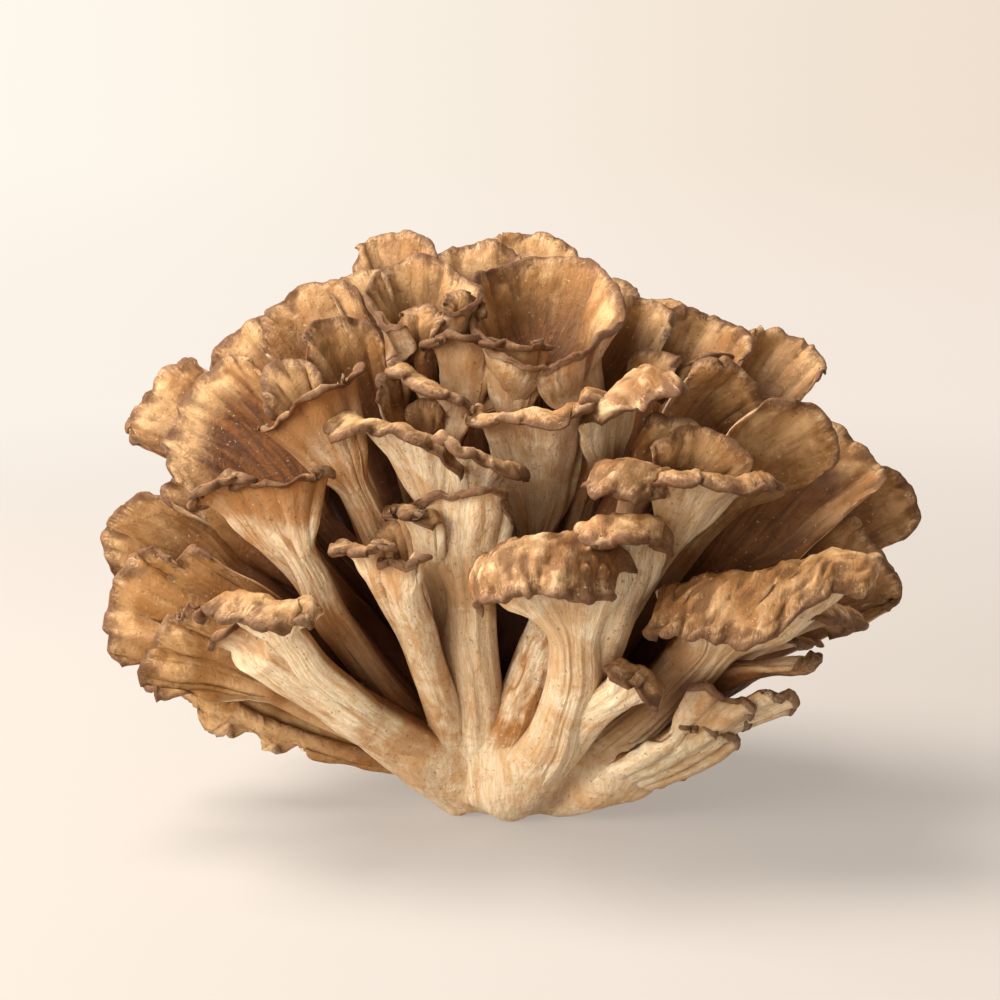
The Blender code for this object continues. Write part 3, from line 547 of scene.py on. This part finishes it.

    # "deep" holds how much of the painted shade a point is spared, until darkness() is known
    facts = {
        "upper": both(1.0, (hangs > 0.3) * (to_rim < f.lip) * (lip_x > 0)),
        "edge": both(edge * (1 - 0.3 * front)),
        "cap": both(h),
        "tone": both(rng.uniform(-1, 1)),
        "across": both(across),
        "along": both(along),
        "tan": both(f.tan),
        "dark": both(f.dark),
        "deep": both(float(f.name == "behind") + smooth(h) * front),
        "rise": both(rise * share, folds * share),
    }
    return points, blade_faces(m, n), facts


def darkness(clouds):
    """How shut in each point is, from 0 in the open to 1 deep between the fronds; it sets the painted shade of the
    colour.

    The fronds are dropped into a grid of cells, and every cell looks out in rings of directions.
    """
    low = np.min([c.min(axis=0) for c in clouds], axis=0) - 12
    high = np.max([c.max(axis=0) for c in clouds], axis=0) + 12
    shape = np.ceil((high - low) / CELL).astype(int) + 1
    full = np.zeros(shape, np.float32)
    for c in clouds:
        at = np.floor((c - low) / CELL).astype(int)
        full[at[:, 0], at[:, 1], at[:, 2]] = 1
    directions = []
    for lift, count in LOOKS:
        for k in range(count):
            a, b = 2 * math.pi * (k + 0.5 * (lift > 20)) / count, math.radians(lift)
            directions.append((math.cos(a) * math.cos(b), math.sin(a) * math.cos(b), math.sin(b)))
    sky = np.zeros(shape, np.float32)
    for d in directions:
        block = np.zeros(shape, np.float32)
        for k in range(2, 17):
            move = np.round(np.array(d) * k).astype(int)
            block += np.roll(full, tuple(-move), axis=(0, 1, 2))
        sky += np.exp(-0.55 * block)
    sky /= len(directions)
    for axis in range(3):
        sky = (np.roll(sky, 1, axis) + 2 * sky + np.roll(sky, -1, axis)) / 4

    def at(points):
        p = (points - low) / CELL - 0.5
        i = np.floor(p).astype(int)
        w = p - i
        i = np.clip(i, 0, shape - 2)
        total = 0.0
        for dx, dy, dz in corners():
            total = total + sky[i[:, 0] + dx, i[:, 1] + dy, i[:, 2] + dz] * corner_weight(w, dx, dy, dz)
        return np.clip(1 - total / 0.6, 0, 1) * (0.25 + 0.75 * smooth((points[:, 2] - 4) / 30))

    return at


# ---- meshes and pieces --------------------------------------------------------------------------------------

def link(name, data):
    made = bpy.data.objects.new(name, data)
    bpy.context.scene.collection.objects.link(made)
    return made


def make_piece(name, mesh, facts):
    """A visible piece of the mushroom: a finished mesh with its per-point facts."""
    for fact, value in facts.items():
        mesh.attributes.new(fact, "FLOAT", "POINT").data.foreach_set("value", value.astype(np.float32))
    mesh.shade_smooth()
    mesh.materials.clear()
    mesh.materials.append(flesh)
    piece = link(name, mesh)
    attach(piece, "root")
    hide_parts("maitake_cluster")


def frond_group(name, parts):
    """One piece from the points, faces and facts of several fronds."""
    points, faces, base = [], [], 0
    for p, q, _ in parts:
        points.append(p)
        faces.append(q + base)
        base += len(p)
    points, faces = np.concatenate(points), np.concatenate(faces)
    used = np.zeros(len(points), bool)
    used[faces.ravel()] = True
    renumber = np.cumsum(used) - 1
    points, faces = points[used], renumber[faces]
    mesh = bpy.data.meshes.new(name)
    mesh.vertices.add(len(points))
    mesh.vertices.foreach_set("co", (points * MM).astype(np.float32).ravel())
    mesh.loops.add(faces.size)
    mesh.loops.foreach_set("vertex_index", faces.astype(np.int32).ravel())
    mesh.polygons.add(len(faces))
    mesh.polygons.foreach_set("loop_start", np.arange(0, faces.size, 4, dtype=np.int32))
    mesh.update(calc_edges=True)
    mesh.validate()
    make_piece(name, mesh, {fact: np.concatenate([facts[fact] for _, _, facts in parts])[used]
                            for fact in parts[0][2]})


def lump(centre, radii, rings, segments):
    """A squashed ball whose lowest part is pressed flat at the height of the table."""
    points = [(0, 0, -1)]
    for i in range(1, rings):
        lat = -math.pi / 2 + math.pi * i / rings
        points += [(math.cos(lat) * math.cos(2 * math.pi * j / segments),
                    math.cos(lat) * math.sin(2 * math.pi * j / segments), math.sin(lat)) for j in range(segments)]
    points.append((0, 0, 1))
    points = np.array(points) * radii + centre
    points[:, 2] = np.maximum(points[:, 2], 0)
    ring = [[1 + i * segments + j for j in range(segments)] for i in range(rings - 1)]
    faces = []
    for j in range(segments):
        k = (j + 1) % segments
        faces += [(0, ring[0][k], ring[0][j]), (len(points) - 1, ring[-1][j], ring[-1][k])]
        for low, high in zip(ring, ring[1:]):
            faces += [(low[j], low[k], high[k]), (low[j], high[k], high[j])]
    return points, faces


def stem_solid(f, top=0.5, rows=16, cols=12):
    """The lower part of a stem as a closed body."""
    v = np.linspace(-1, 1, cols + 1)
    t = np.broadcast_to(np.linspace(0, top, rows + 1)[:, None], (rows + 1, cols + 1))
    mid = surface(f, t, np.broadcast_to(v, t.shape))
    normal = flesh_normal(mid)
    share = smooth(widening(f, t) * 1.6)
    half = 0.5 * flesh_thickness(f, t, share) * cross_section(v[None], share)
    upper, under = mid - normal * half[..., None], mid + normal * half[..., None]
    ring = np.concatenate([upper, under[:, -2:0:-1]], axis=1)
    count = ring.shape[1]
    faces = [(i * count + j, i * count + (j + 1) % count, (i + 1) * count + (j + 1) % count, (i + 1) * count + j)
             for i in range(rows) for j in range(count)]
    faces += [tuple(range(count))[::-1], tuple(rows * count + j for j in range(count))]
    return ring.reshape(-1, 3), faces


def fused(name, solids):
    """One skin round several closed bodies, with the joins eased."""
    points, faces = [], []
    for made, sides in solids:
        faces += [tuple(k + len(points) for k in face) for face in sides]
        points += [tuple(p) for p in made]
    mesh = bpy.data.meshes.new(name)
    mesh.from_pydata((np.array(points) * MM).tolist(), [], faces)
    block = link(name + "_block", mesh)
    fuse = block.modifiers.new("fuse", "REMESH")
    fuse.mode, fuse.voxel_size = "VOXEL", VOXEL
    ease = block.modifiers.new("ease", "SMOOTH")
    ease.factor, ease.iterations = 0.5, 10
    made = bpy.data.meshes.new_from_object(block.evaluated_get(bpy.context.evaluated_depsgraph_get()))
    bpy.data.objects.remove(block)
    return made


def foot(fronds):
    """The stems melt into one pale foot, which ends below the height where they part."""
    solids = [stem_solid(f) for f in fronds if f.name != "left_low"]
    solids += [lump(*BASE, rings=16, segments=32), lump(*TRUNK, rings=12, segments=24)]
    mesh = fused("foot", solids)
    p = np.empty(len(mesh.vertices) * 3, np.float32)
    mesh.vertices.foreach_get("co", p)
    p = p.reshape(-1, 3).astype(float) / MM
    n = np.empty(len(mesh.vertices) * 3, np.float32)
    mesh.vertex_normals.foreach_get("vector", n)
    n = n.reshape(-1, 3)
    round_mm = np.arctan2(p[:, 1] - 2, p[:, 0]) * 22
    run = np.linalg.norm(p - np.array([0, 2, -4]), axis=1)
    ribs = flow_noise(round_mm, run, 71, (2.6, 26, 0.5), (1.2, 14, 0.28)) + 0.35 * noise(p / 6, 72)
    swell = 0.8 * (1 - smooth((p[:, 2] - 6) / 16)) - 2.4 * smooth((p[:, 2] - 16) / 14)
    p = p + n * (swell + 0.7 * ribs)[:, None]
    p[:, 2] = np.maximum(p[:, 2], 0)
    high = FOOT_TOP < p[:, 2]
    mesh.vertices.foreach_set("co", (p * MM).astype(np.float32).ravel())
    cut = bmesh.new()
    cut.from_mesh(mesh)
    cut.verts.ensure_lookup_table()
    bmesh.ops.delete(cut, geom=[cut.verts[i] for i in np.flatnonzero(high)], context="VERTS")
    cut.to_mesh(mesh)
    cut.free()
    none = 0 * run
    # the foot takes painted shade where it is shut in
    facts = {"upper": none, "edge": none + NO_EDGE, "cap": none + 0.5, "tone": none, "across": round_mm,
             "along": run, "tan": none + 0.5, "dark": none, "deep": deep_at(p), "rise": 0.5 * ribs}
    make_piece("foot", mesh, {fact: value[~high] for fact, value in facts.items()})


def core():
    """The middle where the stems crowd together, dark with painted shade."""
    points, faces = lump(*TRUNK, rings=24, segments=48)
    points = points + unit(points - np.array(TRUNK[0], float)) * (noise(points / 7, 44) * 2 - 2)[:, None]
    points[:, 2] = np.maximum(points[:, 2], 2)
    mesh = bpy.data.meshes.new("core")
    mesh.from_pydata((points * MM).tolist(), [], faces)
    run = points[:, 2]
    none = 0 * run
    # painted shade: the core is given deep shade that grows with height
    make_piece("core", mesh, {
        "upper": none + 1, "edge": none + NO_EDGE, "cap": none, "tone": none,
        "across": np.arctan2(points[:, 1], points[:, 0]) * 25, "along": run, "tan": none, "dark": none,
        "deep": 0.9 * smooth(run / 30), "rise": none})


# ---- materials ----------------------------------------------------------------------------------------------

class Nodes:
    """Short calls to build a node tree."""

    def __init__(self, name):
        self.material = bpy.data.materials.new(name)
        self.material.use_nodes = True
        self.tree = self.material.node_tree
        self.shader = self.tree.nodes["Principled BSDF"]

    def put(self, socket, value):
        if isinstance(value, bpy.types.NodeSocket):
            self.tree.links.new(value, socket)
        else:
            socket.default_value = value

    def node(self, kind, **inputs):
        """A node with its settings and sockets by name, or by number as i0, i1 and so on."""
        made = self.tree.nodes.new(kind)
        for key, value in inputs.items():
            if hasattr(made, key):
                setattr(made, key, value)
            else:
                self.put(made.inputs[int(key[1:]) if key[0] == "i" and key[1:].isdigit() else key], value)
        return made

    def fact(self, name):
        return self.node("ShaderNodeAttribute", attribute_name=name).outputs["Fac"]

    def math(self, operation, a, b=0.0, clamp=False):
        return self.node("ShaderNodeMath", operation=operation, use_clamp=clamp, i0=a, i1=b).outputs[0]

    def times(self, a, b):
        return self.math("MULTIPLY", a, b)

    def plus(self, a, b, clamp=False):
        return self.math("ADD", a, b, clamp)

    def vector(self, x, y, z):
        return self.node("ShaderNodeCombineXYZ", X=x, Y=y, Z=z).outputs[0]

    def noise(self, vector, scale=1.0, detail=4.0, rough=0.55, twist=0.0, kind="FBM"):
        return self.node("ShaderNodeTexNoise", noise_type=kind, Vector=vector, Scale=scale, Detail=detail,
                         Roughness=rough, Distortion=twist).outputs["Fac"]

    def ramp(self, value, low, high, a=0.0, b=1.0):
        """From a to b while the value goes from low to high, with soft ends."""
        made = self.node("ShaderNodeMapRange", interpolation_type="SMOOTHSTEP")
        for k, x in enumerate((value, low, high, a, b)):
            self.put(made.inputs[k], x)
        return made.outputs[0]

    def mix(self, factor, a, b, kind="MIX"):
        made = self.node("ShaderNodeMix", data_type="RGBA", blend_type=kind)
        self.put(made.inputs[0], factor)
        for k, x in ((6, a), (7, b)):
            self.put(made.inputs[k], (*x, 1.0) if isinstance(x, tuple) else x)
        return made.outputs[2]

    def shiny(self, specular):
        self.shader.inputs["Specular IOR Level"].default_value = specular


def srgb(r, g, b):
    return tuple(((c / 255 + 0.055) / 1.055) ** 2.4 if c > 10 else c / 255 / 12.92 for c in (r, g, b))


# Pale flesh of the stems and of the faces below, with a brown for the faces below and an ochre that are partly
# painted shade, and painted shade for stems deep in the cluster
BUFF, CREAM = srgb(214, 184, 142), srgb(240, 222, 192)
HONEY, STRAW = srgb(200, 148, 84), srgb(196, 144, 84)
AMBER, FIBRE = srgb(176, 120, 62), srgb(176, 124, 66)
UNDERSIDE_TAN_AND_SHADE, OCHRE_STAIN_AND_SHADE, SHADED_STEM = srgb(154, 108, 64), srgb(160, 108, 58), srgb(178, 120, 60)
# Brown skin of the caps, and painted shade for their throats
FAWN, BROWN = srgb(216, 174, 122), srgb(160, 112, 60)
RAY_DARK, RAY_PALE = srgb(126, 84, 42), srgb(236, 206, 164)
MOTTLE, WORN = srgb(138, 92, 48), srgb(150, 106, 60)
THROAT_SHADE, THROAT_SHADE_DARK, THROAT_SHADE_SPOT = srgb(118, 68, 26), srgb(76, 40, 14), srgb(70, 36, 12)
# Margin, relief and what lies on both, with painted shade in the folds, a painted highlight on the ridges and painted
# shade where the fronds crowd together
MARGIN_PALE, MARGIN_DARK = srgb(198, 156, 112), srgb(92, 60, 34)
GRAIN_DARK, GRAIN_PALE = srgb(100, 66, 38), srgb(236, 204, 162)
FOLD_SHADE, RIDGE_HIGHLIGHT, CREASE = srgb(98, 64, 32), srgb(230, 196, 150), srgb(112, 70, 34)
CRUMB, SPECK, RIM_LINE = srgb(244, 222, 186), srgb(96, 58, 28), srgb(92, 60, 36)
SHADED, DEEPEST_SHADE = srgb(126, 76, 32), (0.2, 0.09, 0.03)


def flesh_material():
    n = Nodes("mushroom_flesh")
    upper, edge, cap = n.fact("upper"), n.fact("edge"), n.fact("cap")
    tone, across, along, deep = n.fact("tone"), n.fact("across"), n.fact("along"), n.fact("deep")
    tan, rise, dark = n.fact("tan"), n.fact("rise"), n.fact("dark")
    place = n.node("ShaderNodeTexCoord").outputs["Object"]
    shift = n.times(tone, 37.0)

    def skin(wide, long_):
        """Skin coordinates in mm, stretched along the frond."""
        return n.vector(n.math("DIVIDE", across, wide), n.math("DIVIDE", along, long_), shift)

    streak = n.noise(skin(3.4, 12.0), 1.0, 5, 0.62, 0.9)
    radial = n.noise(skin(2.6, 15.0), 1.0, 5, 0.62, 0.6)
    fine = n.noise(skin(0.7, 3.6), 1.0, 5, 0.65)
    fibre = n.noise(skin(0.5, 4.0), 1.0, 3, 0.6, 0.4)
    crease = n.noise(skin(4.5, 15.0), 1.0, 4, 0.6, 0.7, "RIDGED_MULTIFRACTAL")
    cloud = n.noise(place, 60, 4, 0.6, 0.6)
    mottle = n.noise(place, 210, 6, 0.7, 0.9)
    marble = n.noise(place, 420, 5, 0.72, 1.4)
    grain = n.noise(place, 1300, 3, 0.6)
    fleck = n.noise(place, 1000, 2, 0.5)

    # pale flesh: fibres, honey streaks and stains; a browner face below, partly its own tan and partly painted shade;
    # ochre stains, stronger on fronds given painted shade; and painted shade deep between the stems
    low = n.mix(n.ramp(fine, 0.34, 0.66), BUFF, CREAM)
    low = n.mix(n.ramp(streak, 0.52, 0.64, 0.0, 0.5), low, HONEY)
    low = n.mix(n.ramp(mottle, 0.56, 0.66, 0.0, 0.45), low, AMBER)
    low = n.mix(n.ramp(cloud, 0.5, 0.62, 0.0, 0.5), low, STRAW)
    low = n.mix(n.ramp(fibre, 0.6, 0.72, 0.0, 0.2), low, FIBRE)
    # partly painted shade: the face below browns towards the cap, by the frond's own amount
    low = n.mix(n.times(n.ramp(cap, 0.1, 0.9), tan), low, UNDERSIDE_TAN_AND_SHADE)
    # ochre stains on the stem, strengthened where the frond is given painted shade
    ochre_stain_and_shade = n.times(n.ramp(n.plus(streak, n.times(cloud, 0.8)), 0.66, 1.12), dark)
    ochre_stain_and_shade = n.times(ochre_stain_and_shade, n.ramp(along, 8.0, 26.0))
    low = n.mix(n.times(ochre_stain_and_shade, 0.7), low, OCHRE_STAIN_AND_SHADE)
    # painted shade on stems shut in between the fronds
    low = n.mix(n.ramp(deep, 0.42, 0.95, 0.0, 0.7), low, SHADED_STEM)

    # brown skin: clouded, streaked towards the stem, mottled and darker at the margin, with painted shade in the
    # throat and the hollow
    high = n.mix(n.ramp(cloud, 0.36, 0.62), FAWN, BROWN)
    high = n.mix(n.ramp(radial, 0.5, 0.68, 0.0, 0.36), high, RAY_DARK)
    high = n.mix(n.ramp(radial, 0.46, 0.3, 0.0, 0.22), high, RAY_PALE)
    high = n.mix(n.ramp(mottle, 0.5, 0.64, 0.0, 0.4), high, MOTTLE)
    high = n.mix(n.ramp(tone, -1.0, 1.0, 0.0, 0.3), high, WORN)
    # painted shade: darker towards the stem in the throat, and in the hollow of caps turned from the light
    throat_shade = n.times(n.ramp(cap, 0.3, 1.1, 1.0, 0.0), n.plus(dark, 1.0, clamp=True))
    hollow = n.times(dark, n.ramp(n.plus(edge, n.times(streak, 10.0)), 7.0, 20.0))
    throat_shade = n.math("MAXIMUM", throat_shade, hollow)
    inside = n.mix(n.ramp(radial, 0.38, 0.62), THROAT_SHADE, THROAT_SHADE_DARK)
    inside = n.mix(n.ramp(mottle, 0.48, 0.62, 0.0, 0.45), inside, THROAT_SHADE_SPOT)
    high = n.mix(n.times(throat_shade, 0.88), high, inside)
    margin = n.ramp(n.plus(edge, n.times(mottle, 5.0)), 3.0, 7.0, 1.0, 0.0)
    high = n.mix(n.times(margin, 0.78), high, n.mix(n.ramp(marble, 0.38, 0.6), MARGIN_PALE, MARGIN_DARK))
    high = n.mix(n.times(n.ramp(fine, 0.5, 0.62), n.times(margin, 0.4)), high, GRAIN_DARK)
    high = n.mix(n.times(n.ramp(fine, 0.46, 0.36), n.times(margin, 0.35)), high, GRAIN_PALE)

    # both: painted shade in the folds and a painted highlight on the ridges, flecks, a thin dark rim, and painted
    # shade where little light comes
    colour = n.mix(upper, low, high)
    # painted shade in the folds and a painted highlight on the ridges of the relief
    colour = n.mix(n.ramp(rise, -0.05, -0.8, 0.0, 0.8), colour, FOLD_SHADE)
    colour = n.mix(n.ramp(rise, 0.2, 1.1, 0.0, 0.45), colour, RIDGE_HIGHLIGHT)
    colour = n.mix(n.times(n.ramp(crease, 0.75, 1.3), n.ramp(cap, 0.0, 0.4, 0.03, 0.4)), colour, CREASE)
    colour = n.mix(n.ramp(fleck, 0.68, 0.72, 0.0, 0.25), colour, CRUMB)
    colour = n.mix(n.ramp(fleck, 0.34, 0.3, 0.0, 0.5), colour, SPECK)
    colour = n.mix(n.ramp(n.plus(edge, n.times(marble, 2.6)), 1.6, 3.2, 0.8, 0.0), colour, RIM_LINE)
    # painted shade where the fronds crowd together
    colour = n.mix(n.ramp(deep, 0.5, 0.95, 0.0, 0.7), colour, SHADED)
    colour = n.mix(n.ramp(deep, 0.6, 0.97), colour, n.mix(1.0, colour, DEEPEST_SHADE, "MULTIPLY"))
    n.put(n.shader.inputs["Base Color"], colour)
    n.put(n.shader.inputs["Roughness"], n.ramp(fine, 0.3, 0.8, 0.48, 0.7))
    n.shiny(0.2)
    n.shader.inputs["Subsurface Weight"].default_value = 0.15
    n.shader.inputs["Subsurface Radius"].default_value = (1.0, 0.45, 0.2)
    n.shader.inputs["Subsurface Scale"].default_value = 0.004
    relief = n.plus(n.times(mottle, 1.2), n.times(fine, 0.4))
    relief = n.plus(relief, n.times(grain, 0.2))
    relief = n.plus(relief, n.times(marble, 0.6))
    relief = n.math("SUBTRACT", relief, n.times(crease, 0.35))
    bump = n.node("ShaderNodeBump", Strength=0.75, Distance=0.0009, Height=relief)
    n.put(n.shader.inputs["Normal"], bump.outputs[0])
    return n.material


# ---- the mushroom -------------------------------------------------------------------------------------------

def group_of(f):
    """The piece that a frond belongs to, and the spacing of its points."""
    if f in FRONT:
        return ("front_left" if f.crown[0] < -10 else "front_right"), STEP
    if f in UPPER:
        return ("caps_left" if f.crown[0] < -34 else "caps_top" if f.crown[0] < 45 else "caps_right"), STEP
    return "_".join(f.name.split("_")[:2]), STEP * BACK_COARSER


flesh = flesh_material()
fronds = FRONT + UPPER + back_fronds()
groups = {}
for frond in fronds:
    group, step = group_of(frond)
    groups.setdefault(group, []).append(frond_mesh(frond, step))
# how shut in every point is, which sets the painted shade between the fronds
deep_at = darkness([points for parts in groups.values() for points, _, _ in parts])
for group, parts in groups.items():
    for points, _, facts in parts:
        facts["deep"] = deep_at(points) * (1 - 0.5 * facts["deep"])
    frond_group(group, parts)
foot(fronds)
core()


# ---- room, light and camera ---------------------------------------------------------------------------------

def backdrop():
    """A wide pale sheet: paper round the mushroom, glowing a little with painted light that lightens the shadow,
    which passes into a distance that glows with painted light, brighter on the left.
    """
    rings = [0.02, 0.1, 0.2, 0.3, 0.42, 0.56, 0.75, 1.0, 1.4, 2.0, 3.0, 4.5, 7.0, 11.0, 18.0, 30.0]
    count = 64
    points = [(0.0, 0.0, 0.0)]
    for r in rings:
        points += [(r * math.cos(2 * math.pi * k / count), r * math.sin(2 * math.pi * k / count),
                    max(0.0, r - 12.0) ** 2 * 0.05) for k in range(count)]
    faces = [(0, 1 + k, 1 + (k + 1) % count) for k in range(count)]
    for i in range(len(rings) - 1):
        a, b = 1 + i * count, 1 + (i + 1) * count
        faces += [(a + k, b + k, b + (k + 1) % count, a + (k + 1) % count) for k in range(count)]
    mesh = bpy.data.meshes.new("backdrop")
    mesh.from_pydata(points, [], faces)
    mesh.shade_smooth()
    n = Nodes("backdrop_paper")
    place = n.node("ShaderNodeSeparateXYZ", Vector=n.node("ShaderNodeTexCoord").outputs["Object"])
    x, y = place.outputs[0], place.outputs[1]
    reach = n.math("SQRT", n.plus(n.times(x, x), n.times(y, y)))
    far = n.ramp(reach, 0.16, 0.75)
    # painted light: the glow is brighter on the left than on the right
    side = n.ramp(n.math("DIVIDE", x, n.plus(n.math("ABSOLUTE", y), 0.7)), -0.22, 0.22)
    above = n.mix(side, srgb(255, 249, 237), srgb(239, 223, 206))
    below = n.mix(side, srgb(252, 243, 232), srgb(243, 230, 218))
    glow = n.mix(n.ramp(reach, 0.8, 3.5), below, above)
    n.shader.inputs["Roughness"].default_value = 0.9
    n.shiny(0.0)
    # painted light: the paper glows, weakly near the mushroom and fully in the distance
    n.put(n.shader.inputs["Base Color"], n.mix(far, srgb(139, 132, 125), (0.0, 0.0, 0.0)))
    n.put(n.shader.inputs["Emission Color"], n.mix(far, srgb(246, 236, 226), glow))
    n.put(n.shader.inputs["Emission Strength"], n.plus(n.times(far, 1 - PAPER_GLOW), PAPER_GLOW))
    mesh.materials.append(n.material)
    link("backdrop", mesh)


def aim(made, place, direction):
    made.location = place
    made.rotation_mode = "QUATERNION"
    made.rotation_quaternion = direction.to_track_quat("-Z", "Y")


def area_light(name, place, size, power, colour):
    light = bpy.data.lights.new(name, "AREA")
    light.shape = "SQUARE"
    light.size, light.energy, light.color = size, power, colour
    aim(link(name, light), place, Vector((0, 0, 0.07)) - Vector(place))


def camera():
    target = Vector((-0.003, 0.0, 0.078))
    lift, distance = math.radians(10), 0.7
    back = Vector((0, -math.cos(lift), math.sin(lift)))
    data = bpy.data.cameras.new("camera")
    data.sensor_width, data.lens, data.clip_start = 36, 100.8, 0.02
    made = link("camera", data)
    aim(made, target + back * distance, -back)
    bpy.context.scene.camera = made


backdrop()
area_light("key", (-0.5, 0.1, 0.9), size=0.7, power=22, colour=(1.0, 0.97, 0.94))
area_light("front", (-0.8, -0.75, 0.38), size=0.8, power=17, colour=(1.0, 0.97, 0.92))
world = bpy.data.worlds.new("room")
bpy.context.scene.world = world
world.use_nodes = True
world.node_tree.nodes["Background"].inputs[0].default_value = (1.0, 0.98, 0.94, 1)
world.node_tree.nodes["Background"].inputs[1].default_value = 0.27
bpy.context.scene.view_settings.view_transform = "Standard"
camera()
